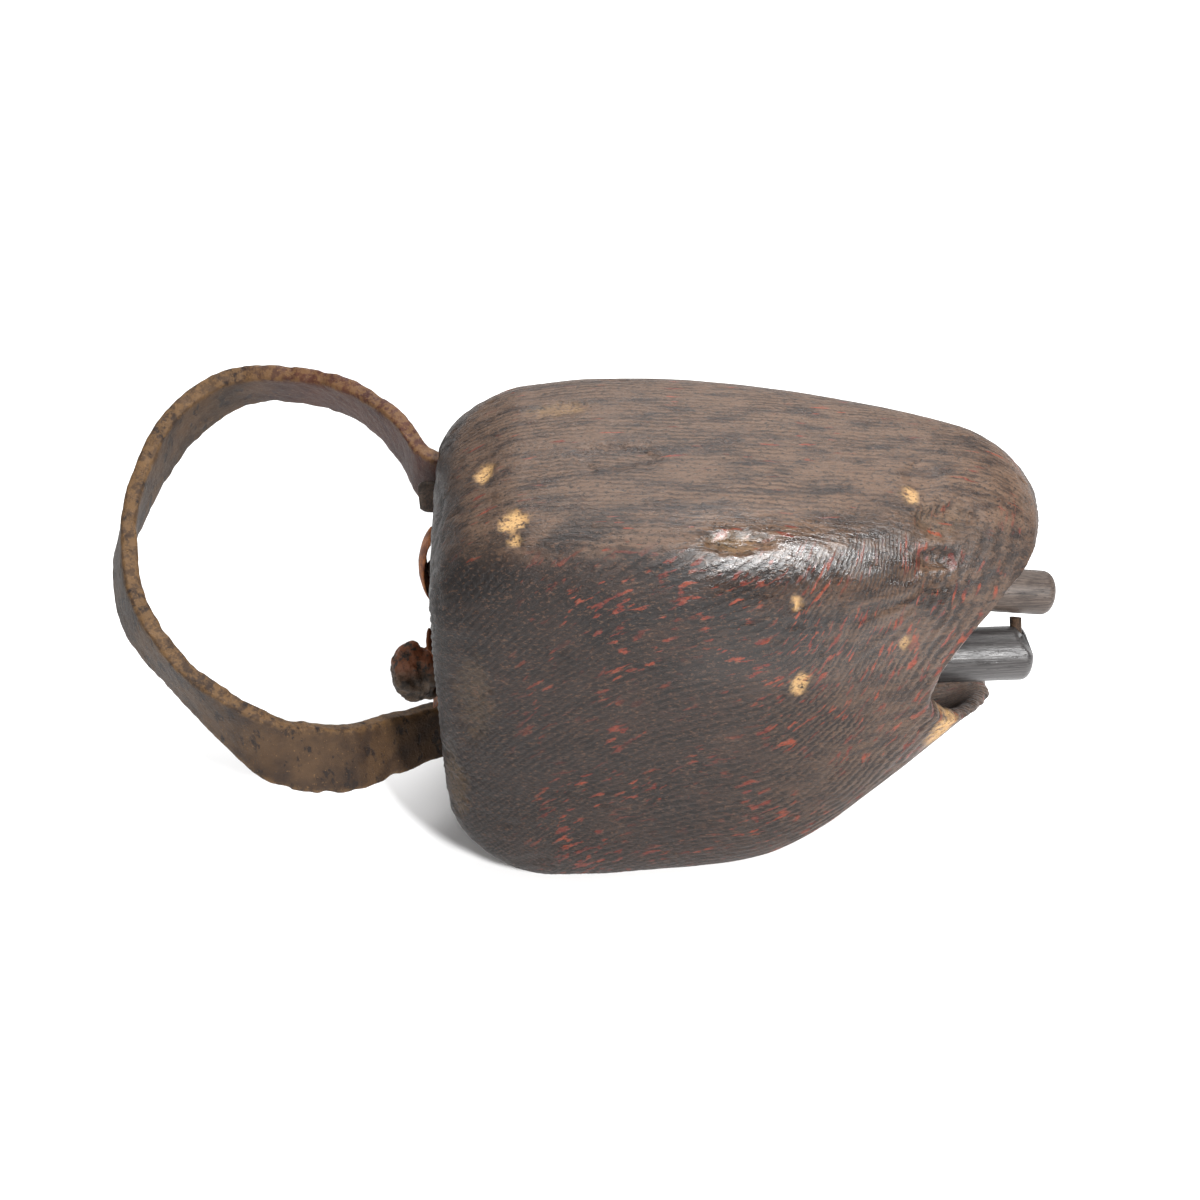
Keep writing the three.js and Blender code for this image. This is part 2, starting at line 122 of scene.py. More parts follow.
def law(points, x):
    """Monotone cubic curve through (x, value) points, for an array of x."""
    px, py = np.array(points, dtype=float).T
    slope = np.diff(py) / np.diff(px)
    before, after = slope[:-1], slope[1:]
    same = before * after > 0
    middle = np.where(same, 2 * before * after / np.where(same, before + after, 1), 0)
    tangent = np.concatenate([slope[:1], middle, slope[-1:]])
    x = np.clip(np.asarray(x, dtype=float), px[0], px[-1])
    i = np.clip(np.searchsorted(px, x, side="right") - 1, 0, len(px) - 2)
    span = px[i + 1] - px[i]
    t = (x - px[i]) / span
    return ((2 * t**3 - 3 * t**2 + 1) * py[i] + (t**3 - 2 * t**2 + t) * span * tangent[i]
            + (3 * t**2 - 2 * t**3) * py[i + 1] + (t**3 - t**2) * span * tangent[i + 1])


def smooth(low, high, value):
    """0 below low, 1 above high, smooth in between; low may be above high."""
    t = np.clip((np.asarray(value, dtype=float) - low) / (high - low), 0, 1)
    return t * t * (3 - 2 * t)


def noise_at(points, scale, seed=0.0, stretch=(1, 1, 1)):
    """Smooth noise from -1 to 1 at each point; scale is the feature size in millimetres."""
    scaled = np.asarray(points) / (scale * np.array(stretch)) + seed
    return np.array([noise.noise(Vector(p)) for p in scaled])


def catmull(points, count, closed=False):
    """Centripetal Catmull-Rom curve through points, as count points evenly spaced in parameter."""
    p = np.array(points, dtype=float)
    spans = len(p) if closed else len(p) - 1
    out = []
    for u in np.linspace(0, spans, count, endpoint=not closed):
        i = min(int(u), spans - 1)
        t = u - i
        if closed:
            a, b, c, d = (p[(i + k) % len(p)] for k in (-1, 0, 1, 2))
        else:
            b, c = p[i], p[i + 1]
            a = p[i - 1] if i else 2 * b - c
            d = p[i + 2] if i + 2 < len(p) else 2 * c - b
        k0, k1, k2 = (max(np.linalg.norm(end[:3] - start[:3]) ** 0.5, 1e-4)
                      for start, end in ((a, b), (b, c), (c, d)))
        m1 = ((b - a) / k0 - (c - a) / (k0 + k1) + (c - b) / k1) * k1
        m2 = ((c - b) / k1 - (d - b) / (k1 + k2) + (d - c) / k2) * k1
        out.append((2 * t**3 - 3 * t**2 + 1) * b + (t**3 - 2 * t**2 + t) * m1
                   + (3 * t**2 - 2 * t**3) * c + (t**3 - t**2) * m2)
    return np.array(out)


# ---- Mesh helpers ----


def make_object(name, vertices, faces):
    """Smooth-shaded mesh object from row-frame vertices."""
    mesh = bpy.data.meshes.new(name)
    mesh.from_pydata(np.asarray(vertices).tolist(), [], faces)
    mesh.update()
    mesh.shade_smooth()
    obj = bpy.data.objects.new(name, mesh)
    bpy.context.scene.collection.objects.link(obj)
    return obj


def grid_faces(rows, columns, wrap=True):
    """Quads between rings of points, each ring closed on itself if wrap."""
    faces = []
    for i in range(rows - 1):
        for j in range(columns if wrap else columns - 1):
            k = (j + 1) % columns
            a, b = i * columns + j, i * columns + k
            faces.append((a, b, b + columns, a + columns))
    return faces


def tube_mesh(name, rings, closed=False):
    """Object skinned over rings of points; ends are capped unless the tube is closed."""
    rings = np.array(rings)
    rows, columns = rings.shape[:2]
    faces = grid_faces(rows, columns)
    last = (rows - 1) * columns
    if closed:
        for j in range(columns):
            k = (j + 1) % columns
            faces.append((last + j, last + k, k, j))
    else:
        faces.append(tuple(reversed(range(columns))))
        faces.append(tuple(range(last, last + columns)))
    obj = make_object(name, place(rings.reshape(-1, 3)), faces)
    face_outwards(obj)
    return obj


def face_outwards(obj):
    """Turns the faces over if the closed mesh is inside out."""
    mesh = obj.data
    mesh.calc_loop_triangles()
    points = np.array([v.co for v in mesh.vertices])
    tris = np.array([t.vertices for t in mesh.loop_triangles])
    a, b, c = points[tris[:, 0]], points[tris[:, 1]], points[tris[:, 2]]
    if np.einsum("ij,ij->i", a, np.cross(b, c)).sum() < 0:
        mesh.flip_normals()


def positions(obj):
    """Vertices in bell millimetres, and normals."""
    mesh = obj.data
    count = len(mesh.vertices)
    points, normals = np.empty(count * 3), np.empty(count * 3)
    mesh.vertices.foreach_get("co", points)
    mesh.vertex_normals.foreach_get("vector", normals)
    return (points.reshape(-1, 3) - ORIGIN) / MM, normals.reshape(-1, 3)


def move_vertices(obj, points):
    """Sets the vertices from bell millimetres."""
    obj.data.vertices.foreach_set("co", place(points).ravel())
    obj.data.update()


def push(obj, amounts):
    """Moves each vertex along its normal by that many millimetres."""
    points, normals = positions(obj)
    move_vertices(obj, points + normals * amounts[:, None])


def mark(obj, name, values):
    """Stores one number per vertex for the material to read."""
    attribute = obj.data.attributes.new(name, "FLOAT", "POINT")
    attribute.data.foreach_set("value", np.asarray(values, dtype=np.float32))


def bake_modifiers(obj):
    """Applies the object's modifiers to its mesh."""
    graph = bpy.context.evaluated_depsgraph_get()
    mesh = bpy.data.meshes.new_from_object(obj.evaluated_get(graph))
    obj.modifiers.clear()
    obj.data = mesh
    obj.data.shade_smooth()


def cut(obj, cutters):
    """Cuts the cutters' shapes out of obj, then deletes the cutters."""
    for cutter in cutters:
        modifier = obj.modifiers.new("cut", "BOOLEAN")
        modifier.object = cutter
        modifier.solver = "EXACT"
    bake_modifiers(obj)
    for cutter in cutters:
        bpy.data.objects.remove(cutter)


def remesh(obj, voxel):
    """Joins overlapping closed shapes into one skin of that voxel size in millimetres."""
    modifier = obj.modifiers.new("skin", "REMESH")
    modifier.mode = "VOXEL"
    modifier.voxel_size = voxel * MM
    bake_modifiers(obj)


def join(name, objects):
    """One mesh object holding all of them."""
    vertices, faces = [], []
    for obj in objects:
        start = len(vertices)
        vertices += [tuple(v.co) for v in obj.data.vertices]
        faces += [tuple(start + i for i in p.vertices) for p in obj.data.polygons]
        bpy.data.objects.remove(obj)
    return make_object(name, vertices, faces)


def axes_across(direction):
    """Two unit vectors at right angles to a direction and each other."""
    d = np.asarray(direction, dtype=float)
    d = d / np.linalg.norm(d)
    side = np.cross(d, (0, 0, 1)) if abs(d[2]) < 0.9 else np.cross(d, (0, 1, 0))
    side = side / np.linalg.norm(side)
    return side, np.cross(d, side)


def rod_rings(start, end, profile, sides):
    """Rings of a turned rod: profile is (distance along in mm, radius) pairs."""
    start, end = np.array(start, dtype=float), np.array(end, dtype=float)
    along = (end - start) / np.linalg.norm(end - start)
    side, up = axes_across(along)
    angle = np.linspace(0, 2 * math.pi, sides, endpoint=False)
    rings = []
    for distance, radius in profile:
        circle = np.outer(np.cos(angle), side) + np.outer(np.sin(angle), up)
        rings.append(start + along * distance + circle * radius)
    return rings


def pin(name, start, end, radius, sides=24, edge=0.6):
    """Plain pin with eased ends."""
    length = float(np.linalg.norm(np.array(end) - np.array(start)))
    profile = [(0, radius - edge), (edge, radius), (length - edge, radius), (length, radius - edge)]
    return tube_mesh(name, rod_rings(start, end, profile, sides))


LUMP_SPACING = 3


def swept(name, path, radius, sides, lumps):
    """Closed round strand along a path, with uneven thickness."""
    path = np.array(path)
    count = len(path)
    rings = []
    up = np.array([0.0, 1.0, 0.0])
    angle = np.linspace(0, 2 * math.pi, sides, endpoint=False)
    for i, middle in enumerate(path):
        along = path[(i + 1) % count] - path[i - 1]
        along = along / np.linalg.norm(along)
        side = np.cross(along, up)
        side = side / np.linalg.norm(side)
        up = np.cross(side, along)
        wide = radius * (1 + lumps * noise.noise(Vector(middle / LUMP_SPACING)))
        ring = np.outer(np.cos(angle) * wide, side) + np.outer(np.sin(angle) * wide, up)
        rings.append(middle + ring)
    return tube_mesh(name, rings, closed=True)


# ---- Bell body ----

AROUND = 400
ROWS_OUTSIDE, ROWS_HOLLOW, ROWS_CROWN, ROWS_END, ROWS_LIP = 138, 40, 18, 12, 7
# Samples along x of the outside, and of the hollow up to past the mouth.
OUTSIDE_SAMPLES, HOLLOW_SAMPLES, HOLLOW_FAR_X = 778, 724, 205
LIP_ROUND = 2.2


def section_table(bottom, top, thick, square, xs):
    """Points evenly spaced round a superellipse at each x: arrays y[x, j] and z[x, j]."""
    angle = np.linspace(-math.pi / 2, 1.5 * math.pi, 2401)
    c, s = np.cos(angle), np.sin(angle)
    y_table, z_table = [], []
    above, below = law(square[0], xs), law(square[1], xs)
    for i, (low, high, half) in enumerate(zip(law(bottom, xs), law(top, xs), law(thick, xs))):
        power = 2 / np.where(s > 0, above[i], below[i])
        y = np.sign(c) * np.abs(c) ** power * half
        z = (low + high) / 2 + np.sign(s) * np.abs(s) ** power * (high - low) / 2
        run = np.concatenate([[0], np.cumsum(np.hypot(np.diff(y), np.diff(z)))])
        even = np.linspace(0, run[-1], AROUND, endpoint=False)
        y_table.append(np.interp(even, run, y))
        z_table.append(np.interp(even, run, z))
    return np.array(y_table), np.array(z_table)


def arch_x(z):
    """Where the arched mouth cuts the wall at height z."""
    above = z > ARCH_MIDDLE
    reach = np.where(above, ARCH_REACH_UP, ARCH_REACH_DOWN)
    power = np.where(above, ARCH_POWER_UP, ARCH_POWER_DOWN)
    return ARCH_START + ARCH_DEPTH * (np.abs(z - ARCH_MIDDLE) / reach) ** power


def shrunk(table, inset, thick, xs):
    """The section table drawn in by inset mm, in proportion to the section's thickness."""
    y_table, z_table = table
    middle = z_table.mean(axis=1, keepdims=True)
    share = 1 - inset[:, None] / law(thick, xs)[:, None]
    return y_table * share, middle + (z_table - middle) * share


def walls(xs, table, rows):
    """Rings of points from the first x to where the lip begins, short of the mouth's edge."""
    y_table, z_table = table
    ends = []
    for j in range(AROUND):
        beyond = np.nonzero(xs >= arch_x(z_table[:, j]))[0]
        ends.append(min(xs[beyond[0]] if len(beyond) else xs[-1], BODY_LENGTH) - LIP_ROUND)
    rings = np.empty((rows, AROUND, 3))
    for j, end in enumerate(ends):
        line = xs[0] + (end - xs[0]) * np.linspace(0, 1, rows) ** 1.12
        rings[:, j, 0] = line
        rings[:, j, 1] = np.interp(line, xs, y_table[:, j])
        rings[:, j, 2] = np.interp(line, xs, z_table[:, j])
    return rings


def cap_rings(ring, rows):
    """Rings closing in from a ring to its middle, at the ring's own x."""
    middle = ring.mean(axis=0)
    rings = []
    for k in range(1, rows):
        inner = middle + (ring - middle) * (1 - k / rows)
        inner[:, 0] = ring[:, 0]
        rings.append(inner)
    return rings, middle


def body_shell():
    """Closed skin of the body: crown, outside, lip, hollow and the hollow's end."""
    xs = np.linspace(0, BODY_LENGTH, OUTSIDE_SAMPLES)
    outer = section_table(BODY_BOTTOM, BODY_TOP, BODY_THICK, BODY_SQUARE, xs)
    bevel = CROWN_BEVEL * (1 - np.sqrt(1 - np.clip(1 - xs / CROWN_BEVEL, 0, 1) ** 2))
    outside = walls(xs, shrunk(outer, bevel, BODY_THICK, xs), ROWS_OUTSIDE)
    inner_xs = np.linspace(CROWN_WALL, HOLLOW_FAR_X, HOLLOW_SAMPLES)
    inner = section_table(HOLLOW_BOTTOM, HOLLOW_TOP, HOLLOW_THICK, HOLLOW_SQUARE, inner_xs)
    turn = np.clip(1 - (inner_xs - CROWN_WALL) / HOLLOW_END_ROUND, 0, 1)
    inset = HOLLOW_END_ROUND * (1 - np.sqrt(1 - turn**2)) * 0.8
    hollow = walls(inner_xs, shrunk(inner, inset, HOLLOW_THICK, inner_xs), ROWS_HOLLOW)[::-1]
    lip = []
    out_edge, in_edge = outside[-1], hollow[0]
    forward = np.array([1.0, 0, 0])
    for k in range(1, ROWS_LIP):
        t = k / ROWS_LIP
        bulge = LIP_ROUND * math.sin(math.pi * t) ** 0.5
        lip.append(out_edge * (1 - t) + in_edge * t + forward * bulge)
    crown, crown_middle = cap_rings(outside[0], ROWS_CROWN)
    end, end_middle = cap_rings(hollow[-1], ROWS_END)
    rings = [*reversed(crown), *outside, *lip, *hollow, *end]
    points = np.concatenate([np.concatenate(rings), [crown_middle, end_middle]])
    faces = grid_faces(len(rings), AROUND)
    first_pole, last_pole = len(points) - 2, len(points) - 1
    last = (len(rings) - 1) * AROUND
    for j in range(AROUND):
        k = (j + 1) % AROUND
        faces.append((first_pole, k, j))
        faces.append((last_pole, last + j, last + k))
    obj = make_object("body", place(points), faces)
    face_outwards(obj)
    return obj


# Old damage: middle (x, y, z), radii, depth, and how much pale wood it shows, all in mm.
SCARS = [
    ((18, -5, 156), (3.6, 5, 6), 0.9, 1.0),
    ((27, -31, 159), (5, 5, 5), 0.6, 1.0),
    ((27, -38, 157), (2.6, 2, 3), 0.4, 0.8),
    ((145, -21, 157), (3, 4, 4), 0.5, 0.8),
    ((109, -48, 139), (2, 3, 2.4), 0.5, 0.9),
    ((112, -51, 108), (3, 3, 6), 0.5, 0.8),
    ((144, -46, 119), (2, 3, 3), 0.4, 0.5),
    ((58, -6, 163), (17, 7, 4), 1.4, 0.0),
    ((92, -40, 156), (13, 4, 4), 1.0, 0.14),
    ((156, -27, 151), (15, 7, 5), 1.7, 0.05),
    ((153, -36, 144), (10, 3, 4), 1.8, 0.0),
    ((150, -15, 158), (7, 9, 4), 0.9, 0.0),
    ((164, -36, 70), (7, 9, 12), 0.0, 0.9),
    ((194, 0, 41), (4.5, 9, 5), 0.4, 0.7),
    ((12, -49, 103), (9, 4, 22), 0.7, 0.05),
    ((4, -45, 60), (6, 6, 20), 0.8, 0.1),
    ((80, 54, 90), (22, 5, 9), 1.0, 0.1),
    ((130, 49, 60), (6, 5, 14), 0.8, 0.4),
    ((40, 20, 163), (12, 5, 5), 0.8, 0.2),
]


def scar_fields(points):
    """Depth and paleness of the old damage at each point."""
    depth, pale = np.zeros(len(points)), np.zeros(len(points))
    for centre, radii, deep, bare in SCARS:
        offset = (points - np.array(centre)) / np.array(radii)
        reach = np.sqrt((offset**2).sum(axis=1))
        near = np.nonzero(reach < 1.6)[0]
        ragged = reach[near] + 0.35 * noise_at(points[near], 2.2, 3.1)
        ragged += 0.2 * noise_at(points[near], 6, 7.7)
        amount = 1 - smooth(0.55, 1.0, ragged)
        depth[near] = np.maximum(depth[near], deep * amount)
        pale[near] = np.maximum(pale[near], bare * amount)
    return depth, pale


# Slope (dz per dx) of the grain lines on the broad faces, and how fast they close up, along x.
GRAIN_SLOPE = [(0, 1.3), (30, 1.0), (60, 0.45), (90, 0.3), (115, 0.5), (135, 0.8), (150, 1.0),
               (200, 1.2)]
GRAIN_RATE = [(0, 1), (100, 1), (120, 0.85), (150, 0.42), (175, 0.34), (200, 0.3)]
FAN_HEIGHT = 34
FRONT_PITCH, TOP_PITCH = 3.1, 2.3
FRONT_GROOVE, TOP_GROOVE = 0.34, 0.16
PIT_DEPTH, CROWN_WEAR = 0.45, 0.7
# The skin stays near its CAD height below this, so that the bell still lies flat.
REST_LOW, REST_HIGH, REST_SHARE = 3, 9, 0.25


def ring_fields(points):
    """Smooth growth-ring coordinates in mm: on the broad faces, on the narrow sides, on the crown."""
    x, y, z = points.T
    xs = np.linspace(-2, 200, 405)
    rise = law(GRAIN_SLOPE, xs) * law(GRAIN_RATE, xs)
    run = np.concatenate([[0], np.cumsum(rise[1:] * np.diff(xs))])
    wander = 3.2 * noise_at(points, 30, 4.2) + 1.1 * noise_at(points, 10, 8.8)
    front = law(GRAIN_RATE, x) * (z - FAN_HEIGHT) - np.interp(x, xs, run) + wander
    top = y * 1.25 + 0.05 * x + 0.8 * wander * smooth(0, 60, x)
    crown = np.hypot(y, (z - 60) * 0.55) + 0.6 * wander
    return front, top, crown


def groove_depth(ring, pitch):
    """0 on a ridge, 1 in the groove between two growth rings."""
    phase = (ring / pitch) % 1.0
    return smooth(0.3, 0.65, phase) * smooth(1.0, 0.82, phase)


def top_share(normals):
    """1 where the surface faces up or down, 0 on the broad faces."""
    return smooth(0.55, 0.85, np.abs(normals[:, 2]))


def carve(obj):
    """Hand-carved unevenness, grain ridges and damage, always into the wood."""
    points, normals = positions(obj)
    facets = 0.22 + 0.4 * noise_at(points, 38, 1.3) + 0.2 * noise_at(points, 14, 5.9)
    front, top, _ = ring_fields(points)
    share = top_share(normals)
    grain = (FRONT_GROOVE * groove_depth(front, FRONT_PITCH) * (1 - share)
             + TOP_GROOVE * groove_depth(top, TOP_PITCH) * share)
    pits = PIT_DEPTH * smooth(0.42, 0.7, noise_at(points, 3.2, 9.4, (3, 1, 1)))
    edge = CROWN_WEAR * smooth(30, 0, points[:, 0]) * np.abs(noise_at(points, 9, 4.4, (2, 1, 1)))
    depth, _ = scar_fields(points)
    amount = facets + grain + pits + edge + depth
    above = smooth(REST_LOW, REST_HIGH, points[:, 2])
    push(obj, -np.maximum(amount, 0) * (REST_SHARE + (1 - REST_SHARE) * above))


def belt_rings(grow, stations, ring_points):
    """Rings of the strap's section along its path; ring_points gives the section in mm."""
    path = catmull(STRAP_PATH, stations)
    spine, lean = path[:, :3], path[:, 3:]
    along = np.gradient(spine, axis=0)
    along /= np.linalg.norm(along, axis=1, keepdims=True)
    wide = np.column_stack([lean, np.ones(stations)])
    wide -= along * np.einsum("ij,ij->i", wide, along)[:, None]
    wide /= np.linalg.norm(wide, axis=1, keepdims=True)
    out = np.cross(along, wide)
    ring = np.asarray(ring_points, dtype=float)
    size = np.array([STRAP_WIDTH / 2 + grow, STRAP_THICKNESS / 2 + grow])
    ring = ring * size
    return spine[:, None] + ring[:, :1] * wide[:, None] + ring[:, 1:] * out[:, None]


SQUARE_RING = [(1, 1), (-1, 1), (-1, -1), (1, -1)]
SLOT_CLEARANCE, BORE_CLEARANCE = 0.4, 0.5
BORE_REACH, TOGGLE_HOLE_REACH = 12, 14


def slot_cutters():
    """Shapes of the strap slots, thong bores and wedge room."""
    cutters = [tube_mesh("slots", belt_rings(SLOT_CLEARANCE, 150, SQUARE_RING))]
    for clapper in (LARGE, SMALL):
        _, y, z = clapper["eye"]
        start, end = (-BORE_REACH, y, z), (CROWN_WALL + BORE_REACH, y, z)
        cutters.append(pin("bore", start, end, SHANK_RADIUS + BORE_CLEARANCE))
    low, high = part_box("strap_wedge")
    bpy.ops.mesh.primitive_cube_add(size=1, location=(low + high) / 2)
    room = bpy.context.object
    room.scale = (high - low) + Vector((2, 2, 2)) * SLOT_CLEARANCE * MM
    cutters.append(room)
    return cutters


def hollow_share(points):
    """1 inside the hollow and its lip, 0 on the outside of the body."""
    x, y, z = points.T
    low, high = law(HOLLOW_BOTTOM, x), law(HOLLOW_TOP, x)
    power = np.where(z > (low + high) / 2, law(HOLLOW_SQUARE[0], x), law(HOLLOW_SQUARE[1], x))
    across, up = y / law(HOLLOW_THICK, x), (z - (low + high) / 2) / ((high - low) / 2)
    ring = (np.abs(across) ** power + np.abs(up) ** power) ** (1 / power)
    return smooth(1.12, 1.04, ring) * smooth(CROWN_WALL - 8, CROWN_WALL - 4, x)


def build_body():
    """The carved bell, with the numbers that its material reads."""
    body = body_shell()
    carve(body)
    cut(body, slot_cutters())
    points, normals = positions(body)
    mark(body, "pale", scar_fields(points)[1])
    mark(body, "inside", hollow_share(points))
    for name, ring in zip(("ring_front", "ring_top", "ring_crown"), ring_fields(points)):
        mark(body, name, ring)
    mark(body, "share_top", top_share(normals))
    mark(body, "share_crown", smooth(0.6, 0.9, -normals[:, 0]))
    return body


# ---- Strap, toggles and wedge ----


STRAP_STATIONS = 520
STRAP_CORNER, CORNER_POINTS, FACE_STEPS = 1.5, 5, 12
STRAP_INSET = 0.25
TOGGLE_HOLE_RADIUS = 3.4


def strap_ring():
    """Rounded rectangle of the strap, as shares of its half width and half thickness."""
    half_w, half_t = STRAP_WIDTH / 2, STRAP_THICKNESS / 2
    flat = half_w - STRAP_CORNER
    points = []
    for sx, sy, first in ((1, 1, 0), (-1, 1, 90), (-1, -1, 180), (1, -1, 270)):
        for k in range(CORNER_POINTS):
            angle = math.radians(first + 90 * k / (CORNER_POINTS - 1))
            x = sx * flat + STRAP_CORNER * math.cos(angle)
            y = sy * (half_t - STRAP_CORNER) + STRAP_CORNER * math.sin(angle)
            points.append((x / half_w, y / half_t))
        if first in (0, 180):
            for k in range(1, FACE_STEPS):
                points.append(((sx * flat - 2 * sx * flat * k / FACE_STEPS) / half_w, sy))
    return np.array(points)


def build_strap():
    """The belt, wrinkled and nibbled at its edges, with the toggles' holes."""
    ring = strap_ring()
    strap = tube_mesh("strap_leather", belt_rings(-STRAP_INSET, STRAP_STATIONS, ring))
    across = np.tile(np.abs(ring[:, 0]), STRAP_STATIONS)
    points, _ = positions(strap)
    edge = smooth(0.8, 1.0, across)
    nibbled = 0.9 * edge * smooth(0.0, 0.5, noise_at(points, 7, 2.7))
    wrinkles = 0.28 * np.abs(noise_at(points, 6, 8.1)) + 0.22 * noise_at(points, 2.4, 1.1)
    buckle = 0.3 * noise_at(points, 22, 6.6)
    outside_crown = smooth(2, -6, points[:, 0])
    push(strap, -(nibbled + np.maximum(wrinkles + buckle, -0.2)) * outside_crown)
    mark(strap, "edge", across)
    holes = []
    for node in ("strap_toggle_upper", "strap_toggle_lower"):
        middle, _ = node_box(node)
        reach = (0, TOGGLE_HOLE_REACH, 0)
        holes.append(pin("hole", middle - reach, middle + reach, TOGGLE_HOLE_RADIUS))
    cut(strap, holes)
    return strap


def build_toggle(node):
    """Whittled pin: slightly tapered, with knife facets."""
    middle, (_, half, _) = node_box(node)
    profile = [(0, 1.6), (1.0, 2.5), (3, 2.85), (half, 2.95), (2 * half - 3, 2.8),
               (2 * half - 1, 2.4), (2 * half, 1.5)]
    start, end = middle - (0, half, 0), middle + (0, half, 0)
    obj = tube_mesh(node.replace("strap_", "") + "_pin", rod_rings(start, end, profile, 9))
    obj.data.shade_flat()
    return obj


def build_wedge():
    """Split sliver of wood, thinner towards the inside of the crown."""
    middle, half = node_box("strap_wedge")
    rings = []
    for t in np.linspace(-1, 1, 15):
        thin = 0.94 - 0.35 * (t + 1) / 2
        ease = 1 - 0.25 * max(abs(t) - 0.8, 0) / 0.2
        ring = []
        for angle in np.linspace(0, 2 * math.pi, 20, endpoint=False):
            c, s = math.cos(angle), math.sin(angle)
            y = math.copysign(abs(c) ** 0.45, c) * half[1] * thin * ease
            z = math.copysign(abs(s) ** 0.45, s) * half[2] * 0.96 * ease
            rough = 1 - 0.05 * abs(noise.noise(Vector((t * 3, c * 2, s * 2))))
            ring.append(middle + np.array([t * half[0], y * rough, z * rough]))
        rings.append(ring)
    return tube_mesh("wedge", rings)


# ---- Clappers and peg ----

ROD_SIDES = 96
EYE_REACH = 16
CHAMFER_LENGTH, CHAMFER_DROP, CHAMFER_REACH = 6, 5.5, 20
PEG_X, PEG_RADIUS, PEG_SINK, PEG_LEAN = 196, 2.1, 4, 0.9
PEG_START, SOCKET_CLEARANCE, PEG_GAP = 1.2, 0.35, 1.3


def axis_of(clapper):
    """Head point, tip point and direction of a clapper."""
    eye, tip = np.array(clapper["eye"], dtype=float), np.array(clapper["tip"], dtype=float)
    along = (tip - eye) / np.linalg.norm(tip - eye)
    return eye - along * HEAD_LENGTH, tip, along


def build_clapper(clapper, pegged):
    """Round rod, a little uneven, with its eye and worn tip, and the peg's socket if pegged."""
    head, tip, along = axis_of(clapper)
    length = np.linalg.norm(tip - head)
    radius, soft = clapper["radius"], clapper["round"]
    distances = np.concatenate([[0, 0.3, 0.8, 1.6, 3], np.linspace(5, length - soft - 0.5, 110)])
    profile = [(d, radius * (0.9 + 0.1 * min(d / 3, 1) ** 0.5)) for d in distances]
    for k in range(13):
        angle = k / 12 * math.pi / 2
        profile.append((length - soft + soft * math.sin(angle), radius - soft + soft * math.cos(angle)))
    for k in range(1, 6):
        profile.append((length - 0.02 * k, (radius - soft) * (1 - k / 5.4)))
    rod = tube_mesh("rod", rod_rings(head, tip, profile, ROD_SIDES))
    points, _ = positions(rod)
    wear = (0.12 + 0.16 * noise_at(points, 26, 2.0, (2, 1, 1))
            + 0.06 * noise_at(points, 5, 4.0, (6, 1, 1)))
    push(rod, -np.maximum(wear, 0))
    eye = np.array(clapper["eye"], dtype=float)
    reach = (0, 0, EYE_REACH)
    cutters = [pin("eye", eye - reach, eye + reach, EYE_RADIUS, 32)]
    if pegged:
        cutters += [chamfer_cutter(clapper), peg_pin("socket", SOCKET_CLEARANCE, 24)]
    cut(rod, cutters)
    return rod


def chamfer_cutter(clapper):
    """Block that takes the slanting flat off the large clapper's tip."""
    x, y, z = clapper["tip"]
    tilt = math.atan2(CHAMFER_DROP, CHAMFER_LENGTH)
    corner = np.array([x - CHAMFER_LENGTH, y, z + clapper["radius"]])
    run = np.array([math.cos(tilt), 0, -math.sin(tilt)])
    rise = np.array([math.sin(tilt), 0, math.cos(tilt)])
    rings = []
    for side in (-CHAMFER_REACH, CHAMFER_REACH):
        near = corner + (0, side, 0) - run * CHAMFER_REACH
        far = near + run * CHAMFER_REACH * 2
        rings.append([near, far, far + rise * CHAMFER_REACH, near + rise * CHAMFER_REACH])
    return tube_mesh("chamfer", rings)


def rod_height(clapper, x):
    """Height of a clapper's axis at x."""
    (x0, _, z0), (x1, _, z1) = clapper["eye"], clapper["tip"]
    return z0 + (z1 - z0) * (x - x0) / (x1 - x0)


def peg_pin(name, grow, sides):
    """The peg's own cylinder, standing on the large clapper and leaning to the small one."""
    low, high = rod_height(LARGE, PEG_X) + PEG_START, rod_height(SMALL, PEG_X) - PEG_START
    middle_y = (LARGE["tip"][1] + SMALL["tip"][1]) / 2

    def at(z):
        return np.array([PEG_X, middle_y + (z - (low + high) / 2) * PEG_LEAN, z])

    return pin(name, at(low - PEG_SINK + 0.5), at(high), PEG_RADIUS + grow, sides)


def build_peg():
    """The peg, hollowed where it would meet the small clapper."""
    peg = peg_pin("peg", -0.1, 28)
    start, end = ((x, SMALL["tip"][1], rod_height(SMALL, x)) for x in (PEG_X - 20, PEG_X + 20))
    cut(peg, [pin("small_room", start, end, SMALL["radius"] + PEG_GAP, ROD_SIDES)])
    return peg


# ---- Rawhide ----

HIDE_INSET = 0.1
STEM_END = 34
TURN_POINTS = 60
FLAP_ROWS, FLAP_COLUMNS = 70, 34
FLAP_BACK_X = -0.85


